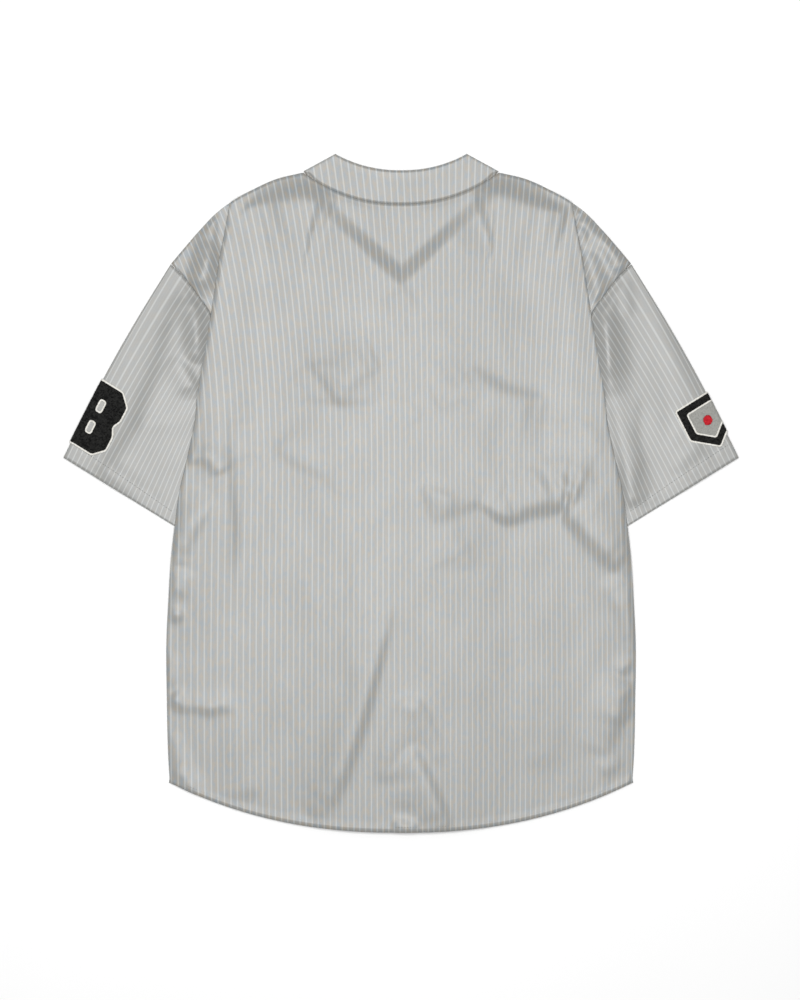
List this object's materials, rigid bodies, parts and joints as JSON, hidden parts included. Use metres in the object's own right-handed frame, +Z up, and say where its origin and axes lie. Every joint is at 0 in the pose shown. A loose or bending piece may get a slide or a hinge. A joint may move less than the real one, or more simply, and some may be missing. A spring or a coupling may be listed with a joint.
{
  "type": "baseball jersey, laid face down",
  "caption": "Short-sleeved pinstriped satin baseball jersey with a shirt-tail hem, laid flat and face down, with pile applique on both sleeves.",
  "frame": {"origin": "centre of the jersey's footprint, on the surface that it lies on", "axes": "+Z up from the surface, +Y towards the neck, +X to the right as the back is seen"},
  "size_m": [0.783, 0.787, 0.0127],
  "materials": {
    "satin": "light grey satin with fine paler pinstripes, soft sheen",
    "pile_black": "black looped pile with an off-white edge",
    "button_resin": "grey resin, semi-gloss"
  },
  "bodies": {
    "root": {"back_panel": "satin", "front_left": "satin", "front_right": "satin", "sleeve_left": "satin", "sleeve_right": "satin", "neck_band": "satin", "sleeve_numeral": "pile_black", "sleeve_patch": "pile_black", "button_1": "button_resin", "button_2": "button_resin", "button_3": "button_resin", "button_4": "button_resin", "button_5": "button_resin", "button_6": "button_resin"}
  },
  "joints": []
}
